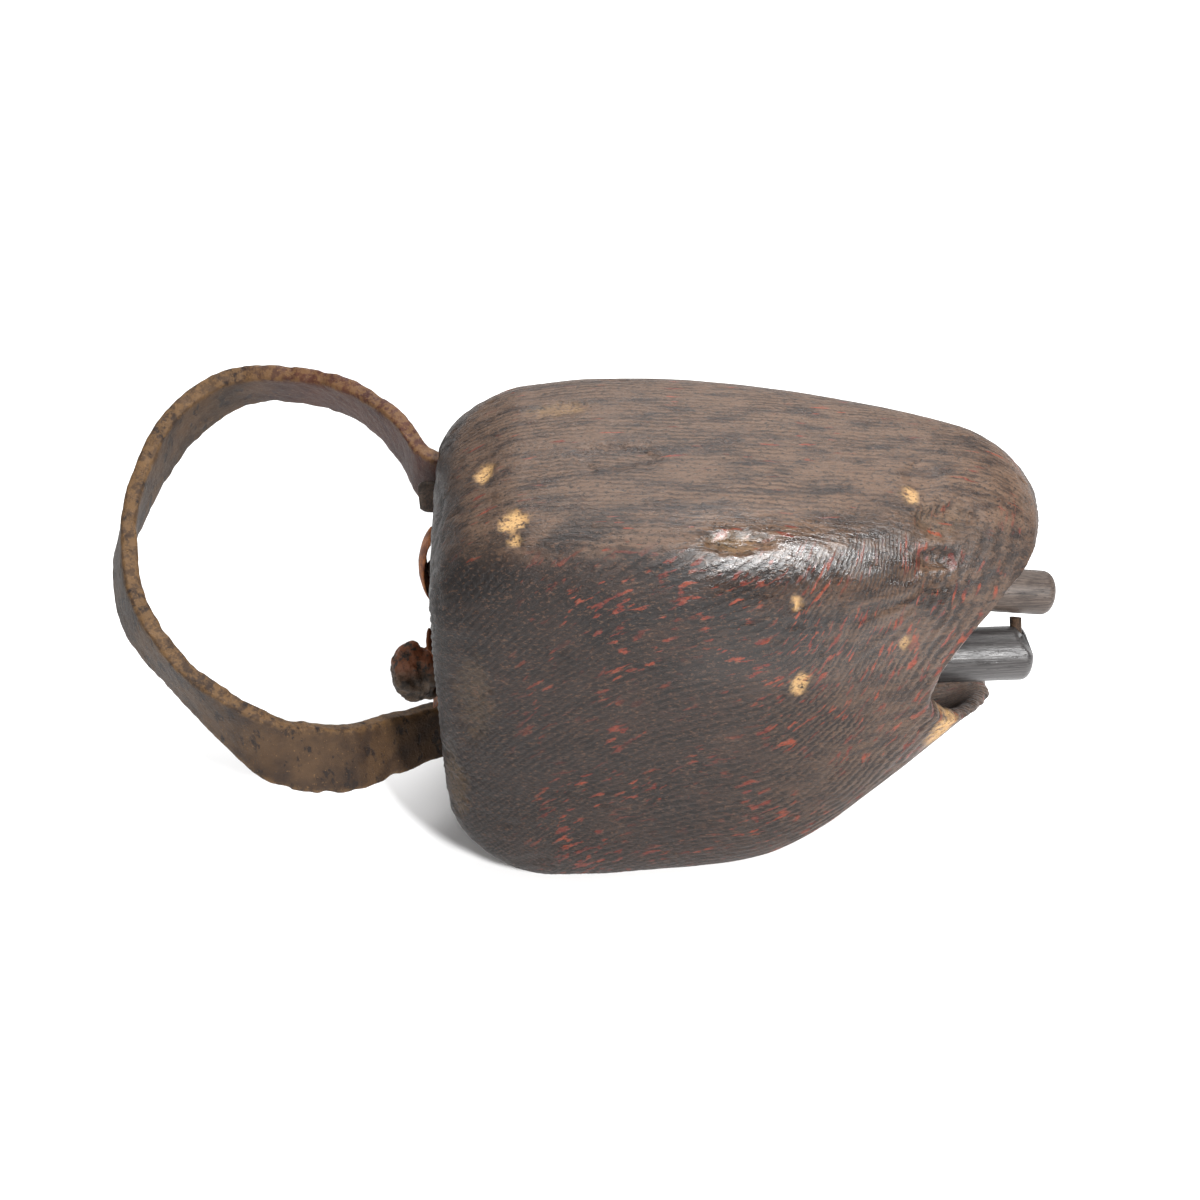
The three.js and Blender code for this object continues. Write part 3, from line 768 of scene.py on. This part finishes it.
def build_loop(clapper):
    """Thong loop through the eye, with its stem back to the crown wall."""
    eye, radius = np.array(clapper["eye"], dtype=float), clapper["radius"]
    leg = radius + LEG_GAP + THONG_RADIUS
    half = [(0, radius * 0.6), (0, radius + 0.2), (-1.1, leg - 0.9), (-4, leg), (-11, leg * 0.93),
            (-17, leg * 0.5)]
    mirrored = [(x, -z) for x, z in reversed(half)]
    outline = [(0, 0), *half, (-18.5, 0), *mirrored]
    path = catmull([(eye[0] + x, eye[1], eye[2] + z) for x, z in outline], 150, closed=True)
    loop = swept("strand", path, THONG_RADIUS - HIDE_INSET, 16, 0.06)
    start, end = (LOOP_START + HIDE_INSET, *eye[1:]), (STEM_END, *eye[1:])
    stem = pin("stem", start, end, SHANK_RADIUS - HIDE_INSET)
    obj = join("loop", [loop, stem])
    remesh(obj, 0.45)
    points, _ = positions(obj)
    push(obj, -0.25 * np.abs(noise_at(points, 3, 1.7, (3, 1, 1))))
    return obj


def build_knot(clapper, x_middle, size, strands, strand_radius):
    """Lump of knotted rawhide on the crown, with the shank through the crown wall."""
    _, y, z = clapper["eye"]
    middle = np.array([x_middle, y, z], dtype=float)
    deep, wide, high = size
    turn = np.linspace(0, 2 * math.pi, TURN_POINTS, endpoint=False)
    parts = []
    for k in range(strands):
        tilt = k * math.pi / strands + 0.4
        loose = 0.85 + 0.3 * noise.noise(Vector((k * 3.7, x_middle, 0.5)))
        strand_x = np.cos(turn) * deep * loose
        strand_y = np.sin(turn) * wide * math.cos(tilt) * loose + 0.16 * wide * np.sin(2 * turn)
        strand_z = np.sin(turn) * high * math.sin(tilt) * loose + 0.16 * high * np.cos(2 * turn + k)
        path = middle + np.column_stack([strand_x, strand_y, strand_z])
        parts.append(swept("strand", path, strand_radius, 12, 0.3))
    shank_end = (CROWN_WALL + 0.8, y, z)
    parts.append(pin("shank", (x_middle, y, z), shank_end, SHANK_RADIUS - HIDE_INSET))
    # A last turn of the strand lies against the crown, under the knot.
    base_x = x_middle * 0.42 + 0.3 * np.sin(3 * turn) * strand_radius
    base_y, base_z = y + np.cos(turn) * wide * 0.72, z + np.sin(turn) * high * 0.74
    base = np.column_stack([base_x, base_y, base_z])
    parts.append(swept("strand", base, strand_radius * 0.9, 12, 0.3))
    obj = join("knot", parts)
    remesh(obj, 0.5)
    points, _ = positions(obj)
    rough = 0.8 * np.abs(noise_at(points, 2.6, 3.3)) + 1.3 * np.maximum(noise_at(points, 5, 1.9), 0)
    push(obj, -rough * smooth(-1, -4, points[:, 0]))
    return obj


def build_flap(node, clapper, curl, bulge):
    """Thin flap of dry hide with a ragged edge, lying in a CAD node's box.

    A curled flap lies under its clapper's knot and has a hole for the shank; one that
    bulges arches over the knot.
    """
    (_, y_mid, z_mid), (_, half_y, half_z) = node_box(node)
    rows, columns = FLAP_ROWS, FLAP_COLUMNS
    front, back = [], []
    for v in np.linspace(-1, 1, rows):
        ragged = 0.88 + 0.11 * noise.noise(Vector((v * 4, z_mid, 0.3)))
        half = half_y * (1 - 0.26 * v * v) * ragged
        for u in np.linspace(-1, 1, columns):
            lift = curl * v**4 + bulge * math.cos(v * math.pi / 2) ** 0.7 * (1 - 0.25 * u**4)
            ripple = 0.25 * noise.noise(Vector((u * 1.5, v * 3, z_mid)))
            x = FLAP_BACK_X - lift - ripple
            thin = 0.45 + 0.75 * (1 - u * u) * (1 - 0.7 * v * v)
            y, z = y_mid + u * half, z_mid + v * half_z * (0.97 - 0.03 * u * u)
            front.append((x - thin, y, z))
            back.append((x, y, z))
    count = rows * columns
    faces = grid_faces(rows, columns, wrap=False)
    faces += [(count + a, count + d, count + c, count + b) for a, b, c, d in faces]
    border = [*range(columns), *range(2 * columns - 1, count, columns),
              *range(count - 2, count - columns - 1, -1), *range(count - 2 * columns, 0, -columns)]
    for a, b in zip(border, border[1:] + border[:1]):
        faces.append((b, a, count + a, count + b))
    obj = make_object("flap", place(front + back), faces)
    face_outwards(obj)
    if curl:
        _, y, z = clapper["eye"]
        cut(obj, [pin("hole", (-BORE_REACH, y, z), (6, y, z), SHANK_RADIUS + SLOT_CLEARANCE)])
    return obj


# ---- Material helpers ----


def arithmetic(operation):
    """Method that adds a maths node for a field and what stands after it."""
    return lambda field, other: field.nodes.math(operation, field, other)


class Field:
    """A node's output; arithmetic on it adds maths nodes."""

    def __init__(self, nodes, socket):
        self.nodes = nodes
        self.socket = socket

    __add__ = arithmetic("ADD")
    __sub__ = arithmetic("SUBTRACT")
    __mul__ = arithmetic("MULTIPLY")
    __truediv__ = arithmetic("DIVIDE")

    def __rsub__(self, number):
        return self.nodes.math("SUBTRACT", number, self)


class Nodes:
    """Short ways to add shader nodes to one material."""

    def __init__(self, name):
        self.slot = name
        self.material = bpy.data.materials.new(name)
        self.material.use_nodes = True
        self.tree = self.material.node_tree
        self.shader = self.tree.nodes["Principled BSDF"]

    def add(self, kind, settings=None, **inputs):
        """One node; settings are its properties, inputs are values or fields by input name."""
        node = self.tree.nodes.new(kind)
        for key, value in (settings or {}).items():
            setattr(node, key, value)
        for key, value in inputs.items():
            self.feed(node.inputs[key.replace("_", " ")], value)
        return node

    def feed(self, socket, value):
        """Sets a socket from a field, a number, a vector or a colour."""
        if isinstance(value, Field):
            self.tree.links.new(value.socket, socket)
        else:
            socket.default_value = value

    def result(self, kind, settings, values):
        """First output of a node whose first inputs are fed the values."""
        node = self.add(kind, settings)
        for socket, value in zip(node.inputs, values):
            self.feed(socket, value)
        return Field(self, node.outputs[0])

    def math(self, operation, *values):
        return self.result("ShaderNodeMath", {"operation": operation}, values)

    def vector(self, operation, *values):
        return self.result("ShaderNodeVectorMath", {"operation": operation}, values)

    def combine(self, *values):
        return self.result("ShaderNodeCombineXYZ", None, values)

    def position(self):
        """Bell millimetres: x from the crown, y from the middle, z from the floor."""
        coords = Field(self, self.add("ShaderNodeTexCoord").outputs["Object"])
        return self.vector("MULTIPLY", self.vector("SUBTRACT", coords, tuple(ORIGIN)), (1 / MM,) * 3)

    def split(self, vector):
        """The vector's x, y and z."""
        node = self.add("ShaderNodeSeparateXYZ", Vector=vector)
        return [Field(self, output) for output in node.outputs]

    def shifted(self, vector, amount):
        """The vector moved along every axis, to draw a different part of the noise."""
        return self.vector("ADD", vector, (amount,) * 3)

    def noise(self, vector, size, detail=4, rough=0.55):
        """Noise from about 0.25 to 0.75; size is the feature size along each axis in mm."""
        scaled = self.vector("DIVIDE", vector, size if isinstance(size, tuple) else (size,) * 3)
        node = self.add("ShaderNodeTexNoise", Vector=scaled, Scale=1.0, Detail=detail, Roughness=rough)
        return Field(self, node.outputs["Fac"])

    def step(self, value, low, high):
        """0 at low, 1 at high, smooth in between; low may be above high."""
        node = self.add("ShaderNodeMapRange", {"interpolation_type": "SMOOTHSTEP"}, Value=value,
                        From_Min=min(low, high), From_Max=max(low, high),
                        To_Min=float(low > high), To_Max=float(low < high))
        return Field(self, node.outputs[0])

    def mix(self, amount, a, b):
        """Colour a where amount is 0, b where it is 1; each is a field or a screen colour."""
        node = self.add("ShaderNodeMix", {"data_type": "RGBA"})
        self.feed(node.inputs[0], amount)
        for socket, colour in ((node.inputs[6], a), (node.inputs[7], b)):
            self.feed(socket, srgb(colour) if isinstance(colour, tuple) else colour)
        return Field(self, node.outputs[2])

    def attribute(self, name):
        """A number stored on the mesh's vertices."""
        node = self.add("ShaderNodeAttribute", {"attribute_name": name})
        return Field(self, node.outputs["Fac"])

    def finish(self, colour, roughness, height, depth_mm, **constants):
        """Wires the shader, with a bump of that many mm; gives the slot's name and the material."""
        bump = self.add("ShaderNodeBump", Height=height, Strength=1.0, Distance=depth_mm * MM)
        self.feed(self.shader.inputs["Base Color"], colour)
        self.feed(self.shader.inputs["Roughness"], roughness)
        self.feed(self.shader.inputs["Normal"], Field(self, bump.outputs[0]))
        for key, value in constants.items():
            self.shader.inputs[key.replace("_", " ")].default_value = value
        return self.slot, self.material


def srgb(screen):
    """Linear colour from red, green and blue screen values of 0 to 255."""
    linear = []
    for value in screen:
        value /= 255
        linear.append(value / 12.92 if value <= 0.04045 else ((value + 0.055) / 1.055) ** 2.4)
    return (*linear, 1.0)


# ---- Materials ----

# Screen colours; in each pair the darker comes first.
WOOD_GROOVE = ((14, 9, 8), (24, 16, 13))
WOOD_RIDGE = ((24, 15, 11), (54, 35, 25))
# Worn, dusty wood, also used as painted sheen on the top and painted light towards the mouth.
WOOD_WORN_AND_LIT = ((40, 28, 22), (96, 74, 58))
WOOD_BLACK = (15, 9, 8)
WOOD_CRUMB = (98, 70, 52)
WOOD_RED, WOOD_ORANGE = (98, 31, 19), (132, 54, 30)
WOOD_BARE = ((168, 122, 70), (212, 176, 122))
WOOD_HOLLOW = (44, 32, 25)
STRAP_BROWN = ((45, 31, 21), (73, 53, 34))
STRAP_RED = ((50, 19, 15), (84, 34, 24))
STRAP_CREASE, STRAP_RUBBED, STRAP_SPECK = (32, 22, 17), (118, 88, 54), (140, 104, 64)
ROD_DARK = ((44, 41, 41), (72, 69, 68))
ROD_BROWN = ((56, 46, 41), (92, 80, 72))
ROD_PIT, ROD_CLOUD_SHADE = (22, 18, 17), 0.62
HIDE_OLD = ((40, 31, 24), (84, 66, 50))
HIDE_DRY = ((104, 54, 20), (156, 92, 40))
HIDE_CRUST, HIDE_AMBER = (30, 22, 18), (120, 66, 34)
PIN_BROWN, PIN_STAIN = ((50, 38, 30), (88, 68, 52)), (38, 28, 22)


def carved_wood():
    """Old dark wood: weathered grain ridges, worn gloss, red flecks and pale scars."""
    n = Nodes("carved_wood")
    p = n.position()
    x, y, z = n.split(p)
    top, crown = n.attribute("share_top"), n.attribute("share_crown")
    ragged = n.noise(p, (3.2, 1.6, 1.6), 3, 0.6)
    jitter = (ragged - 0.5) * 1.5

    def groove(ring_name, pitch, low, high):
        """0 on ridges, 1 in grooves, with ragged edges."""
        phase = n.math("FRACT", n.attribute(ring_name) / pitch + jitter)
        return n.step(phase, low, high) * n.step(phase, 1.0, 0.8)

    blend = groove("ring_front", FRONT_PITCH, 0.25, 0.6) * (1 - top)
    blend += groove("ring_top", TOP_PITCH, 0.35, 0.65) * (top * 0.6)
    fading = n.step(n.noise(n.shifted(p, 90.0), (22, 12, 12), 2), 0.34, 0.62) * 0.75 + 0.25
    grooves = (blend * (1 - crown) + groove("ring_crown", FRONT_PITCH, 0.3, 0.6) * crown) * fading
    # Fibres: thin across the rings and long along them.
    ring = n.attribute("ring_front")
    front_fibre = n.noise(n.combine(ring / 0.5, x / 7, z / 7), 1.0, 4, 0.65)
    fibre = front_fibre * (1 - top) + n.noise(p, (13, 0.7, 4), 4, 0.65) * top
    coarse = n.noise(p, (16, 4, 4), 3, 0.6)
    blotch = n.noise(p, 26, 3)
    stain = n.noise(n.shifted(p, 71.0), 17, 3, 0.6)

    colour = n.mix(grooves * 0.85, n.mix(stain, *WOOD_RIDGE), n.mix(blotch, *WOOD_GROOVE))
    colour = n.mix(n.step(fibre, 0.48, 0.66) * 0.55, colour, WOOD_GROOVE[0])
    # Lighter towards the mouth and on top: worn, dusty wood, with painted light on the mouth side and
    # painted sheen on the top; painted shade darkens the front by the crown end.
    wear_and_light = n.math("MINIMUM", n.step(x, 80, 150) * 0.6 + top * 0.9, 1.0)
    bleached_and_lit = n.mix(grooves, WOOD_WORN_AND_LIT[1], WOOD_WORN_AND_LIT[0])
    colour = n.mix(wear_and_light * n.step(coarse, 0.28, 0.6), colour, bleached_and_lit)
    # Painted shade: the front darkens towards the crown end.
    colour = n.mix(n.step(x, 70, 5) * (1 - top) * 0.45, colour, WOOD_GROOVE[0])
    hard = n.step(n.noise(n.shifted(p, 40.0), (30, 20, 13), 3, 0.6), 0.48, 0.6)
    colour = n.mix(hard * n.step(z, 104, 128) * n.step(y, -18, -42) * 0.75, colour, WOOD_BLACK)

    # Red and orange wood showing where the dark skin has worn through along the grain.
    dash = n.noise(n.combine(ring / 2.2, x / 6, z / 6), 1.0, 2.5, 0.5)
    top_dash = n.noise(n.shifted(p, 15.0), (9, 1.3, 6), 1.5, 0.45)
    patch = n.noise(n.shifted(p, 130.0), 24, 2)
    broad = n.step(dash, 0.57, 0.66) * n.step(patch, 0.42, 0.56) * n.step(x, 18, 42) * (1 - top)
    narrow = n.step(top_dash, 0.66, 0.7) * n.step(patch, 0.46, 0.6) * top
    warm = n.mix(n.step(n.noise(p, 8, 2), 0.4, 0.62), WOOD_RED, WOOD_ORANGE)
    colour = n.mix((broad + narrow) * 0.85, colour, warm)

    chipped = n.attribute("pale") * n.step(n.noise(p, 1.6, 3, 0.6), 0.3, 0.5)
    colour = n.mix(chipped, colour, n.mix(n.noise(p, (7, 2, 2), 3), *WOOD_BARE))
    colour = n.mix(n.attribute("inside") * 0.6, colour, WOOD_HOLLOW)
    crumb = n.noise(p, (1.5, 0.8, 0.8), 4, 0.7)
    colour = n.mix(n.step(crumb, 0.54, 0.66) * 0.55, colour, WOOD_CRUMB)
    colour = n.mix(n.step(crumb, 0.47, 0.36) * 0.8, colour, WOOD_BLACK)

    # The ridge between the front and the top is polished by handling.
    ridge = n.step(z, 98, 116) * n.step(y, -24, -40) * n.step(x, 60, 90) * n.step(x, 175, 150)
    rough = coarse * 0.26 + 0.34 - ridge * 0.28 + (grooves + chipped) * 0.15
    height = fibre * 1.1 - grooves * 0.7 + crumb * 1.3 + ragged * 1.2
    return n.finish(colour, rough, height * (1 - ridge * 0.65), 0.24, Specular_IOR_Level=0.45)


def strap_leather():
    """Olive-brown harness leather, cracked and worn tan along its edges."""
    n = Nodes("strap_leather")
    p = n.position()
    x, _, z = n.split(p)
    blotch = n.noise(p, 16, 4, 0.6)
    grain = n.noise(p, 1.1, 4, 0.7)
    crease = n.noise(p, (4, 4, 9), 4, 0.65)
    colour = n.mix(n.step(blotch, 0.35, 0.65), *STRAP_BROWN)
    colour = n.mix(n.step(crease, 0.54, 0.64), colour, STRAP_CREASE)
    # The upper run towards the crown is redder.
    reddish = n.step(x, -75, -40) * n.step(z, 112, 124)
    colour = n.mix(reddish * 0.6, colour, n.mix(blotch, *STRAP_RED))
    rub = n.step(n.attribute("edge"), 0.72, 1.0) * n.step(n.noise(p, 2.6, 4, 0.7), 0.4, 0.58)
    colour = n.mix(rub * 0.5, colour, STRAP_RUBBED)
    colour = n.mix(n.step(n.noise(p, 0.9, 2, 0.6), 0.66, 0.72) * 0.4, colour, STRAP_SPECK)
    height = grain + crease * 1.4 - n.step(crease, 0.56, 0.62) * 0.5
    return n.finish(colour, grain * 0.34 + 0.44, height, 0.26, Specular_IOR_Level=0.3)


def clapper_wood(name, dark, light, rough_low, gloss):
    """Dense rod wood rubbed smooth, with fine lengthwise grain."""
    n = Nodes(name)
    p = n.position()
    fibre = n.noise(p, (16, 0.5, 0.5), 4, 0.65)
    cloud = n.noise(p, (12, 4, 4), 3, 0.6)
    clouded = tuple(value * ROD_CLOUD_SHADE for value in dark)
    colour = n.mix(n.step(fibre, 0.36, 0.66), dark, light)
    colour = n.mix(n.step(cloud, 0.5, 0.7) * 0.5, colour, clouded)
    pit = n.step(n.noise(p, (5, 0.6, 0.6), 2), 0.62, 0.68)
    colour = n.mix(pit * 0.6, colour, ROD_PIT)
    height = fibre + cloud * 0.5 - pit * 0.6
    return n.finish(colour, cloud * 0.3 + rough_low, height, 0.12, Specular_IOR_Level=gloss)


def rawhide(name, dark, light, crust):
    """Old rawhide: dark crusted lumps and amber where it is rubbed or thin."""
    n = Nodes(name)
    p = n.position()
    lump = n.noise(p, 3.2, 4, 0.65)
    small = n.noise(p, 0.9, 3, 0.7)
    colour = n.mix(n.step(lump, 0.36, 0.64), dark, light)
    colour = n.mix(n.step(small, 0.55, 0.68) * crust, colour, HIDE_CRUST)
    # The top of the large knot is rubbed to amber.
    _, _, z = n.split(p)
    rubbed = n.step(z, 79, 85) * n.step(z, 97, 92) * n.step(lump, 0.38, 0.52)
    colour = n.mix(rubbed * 0.75, colour, HIDE_AMBER)
    height = lump + small * 0.6
    return n.finish(colour, small * 0.4 + 0.5, height, 0.4, Specular_IOR_Level=0.45)


def pin_wood():
    """Plain whittled hardwood, browned by handling."""
    n = Nodes("pin_wood")
    p = n.position()
    fibre = n.noise(p, (0.7, 9, 0.7), 4, 0.6)
    cloud = n.noise(p, 5, 3)
    colour = n.mix(n.step(fibre, 0.36, 0.64), *PIN_BROWN)
    colour = n.mix(n.step(cloud, 0.46, 0.64) * 0.6, colour, PIN_STAIN)
    return n.finish(colour, cloud * 0.3 + 0.5, fibre, 0.15)


# ---- Pieces ----


def add_piece(obj, name, look, body, node):
    """Names and dresses one piece, ties it to its body and hides its CAD node."""
    slot, material = look
    obj.name = name
    obj.data.materials.clear()
    obj.data.materials.append(material)
    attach(obj, body)
    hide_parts(node)


wood, leather = carved_wood(), strap_leather()
hide, flap_hide = rawhide("rawhide", *HIDE_OLD, 0.75), rawhide("dry_hide", *HIDE_DRY, 0.3)
dark_rod = clapper_wood("clapper_dark_wood", *ROD_DARK, 0.2, 0.5)
brown_rod = clapper_wood("clapper_brown_wood", *ROD_BROWN, 0.34, 0.4)
pins = pin_wood()

add_piece(build_body(), "bell_carved", wood, "bell", "bell_body")
add_piece(build_strap(), "strap_worn", leather, "bell", "strap")
for end in ("upper", "lower"):
    toggle = f"strap_toggle_{end}"
    add_piece(build_toggle(toggle), f"toggle_{end}_whittled", pins, "bell", toggle)
add_piece(build_wedge(), "wedge_split", pins, "bell", "strap_wedge")

large_knot = build_knot(LARGE, x_middle=-10.3, size=(5.0, 7.4, 10.2), strands=8, strand_radius=2.9)
add_piece(large_knot, "knot_large_tied", hide, "bell", "thong_knot_large")
small_knot = build_knot(SMALL, x_middle=-2.3, size=(0.5, 2.6, 2.6), strands=4, strand_radius=1.0)
add_piece(small_knot, "knot_small_tied", hide, "bell", "thong_knot_small")
large_flap = build_flap("hide_flap_large", LARGE, curl=2.8, bulge=0)
add_piece(large_flap, "flap_large_curled", flap_hide, "bell", "hide_flap_large")
small_flap = build_flap("hide_flap_small", SMALL, curl=0, bulge=4.1)
add_piece(small_flap, "flap_small_arched", flap_hide, "bell", "hide_flap_small")

large_rod, small_rod = build_clapper(LARGE, pegged=True), build_clapper(SMALL, pegged=False)
add_piece(large_rod, "clapper_large_rod", dark_rod, "large_clapper", "clapper_large")
add_piece(small_rod, "clapper_small_rod", brown_rod, "small_clapper", "clapper_small")
add_piece(build_peg(), "peg_whittled", pins, "large_clapper", "clapper_peg")
add_piece(build_loop(LARGE), "loop_large_thong", hide, "large_thong", "thong_loop_large")
add_piece(build_loop(SMALL), "loop_small_thong", hide, "small_thong", "thong_loop_small")

# ---- Stage, lights and camera ----

FLOOR_SIZE, FLOOR_DROP = 8.0, 0.0004
FLOOR_GREY, FLOOR_ROUGHNESS = 0.93, 0.9
WORLD_STRENGTH = 0.42

bpy.ops.mesh.primitive_plane_add(size=FLOOR_SIZE, location=(0, 0, -FLOOR_DROP))
ground = bpy.context.object
ground.name = "floor"
paper = Nodes("floor_paper")
ground.data.materials.append(paper.material)
paper.shader.inputs["Base Color"].default_value = (FLOOR_GREY, FLOOR_GREY, FLOOR_GREY, 1)
paper.shader.inputs["Roughness"].default_value = FLOOR_ROUGHNESS

world = bpy.data.worlds.new("studio")
bpy.context.scene.world = world
world.use_nodes = True
world.node_tree.nodes["Background"].inputs["Color"].default_value = (1, 1, 1, 1)
world.node_tree.nodes["Background"].inputs["Strength"].default_value = WORLD_STRENGTH


def aim(obj, direction):
    """Adds a lamp or camera to the scene, turned to look along a direction."""
    obj.rotation_euler = direction.to_track_quat("-Z", "Y").to_euler()
    bpy.context.scene.collection.objects.link(obj)


def soft_light(name, stand, target, size, watts):
    """Square area light at one point, turned to another, in metres."""
    data = bpy.data.lights.new(name, "AREA")
    data.size = size
    data.energy = watts
    lamp = bpy.data.objects.new(name, data)
    lamp.location = stand
    aim(lamp, Vector(target) - Vector(stand))


soft_light("window", (0.46, -0.8, 0.82), (0.07, -0.06, 0.14), size=0.12, watts=19)
soft_light("back", (0.15, 0.75, 1.15), (0, 0, 0.08), size=0.8, watts=22)

ELEVATION, AZIMUTH = math.radians(43), math.radians(-2.5)
CAMERA_DISTANCE = 0.490
CAMERA_TARGET = (53.4, 0, 97.7)
LENS_MM, SENSOR_MM = 44.1, 36
CLIP_START = 0.01

camera_data = bpy.data.cameras.new("camera")
camera_data.lens = LENS_MM
camera_data.sensor_width = SENSOR_MM
camera_data.clip_start = CLIP_START
camera = bpy.data.objects.new("camera", camera_data)
level = math.cos(ELEVATION)
back = Vector((math.sin(AZIMUTH) * level, -math.cos(AZIMUTH) * level, math.sin(ELEVATION)))
camera.location = Vector(place(CAMERA_TARGET)) + back * CAMERA_DISTANCE
aim(camera, -back)
bpy.context.scene.camera = camera
bpy.context.scene.view_settings.view_transform = "Standard"

# ---- Last update ----

bpy.context.view_layer.update()
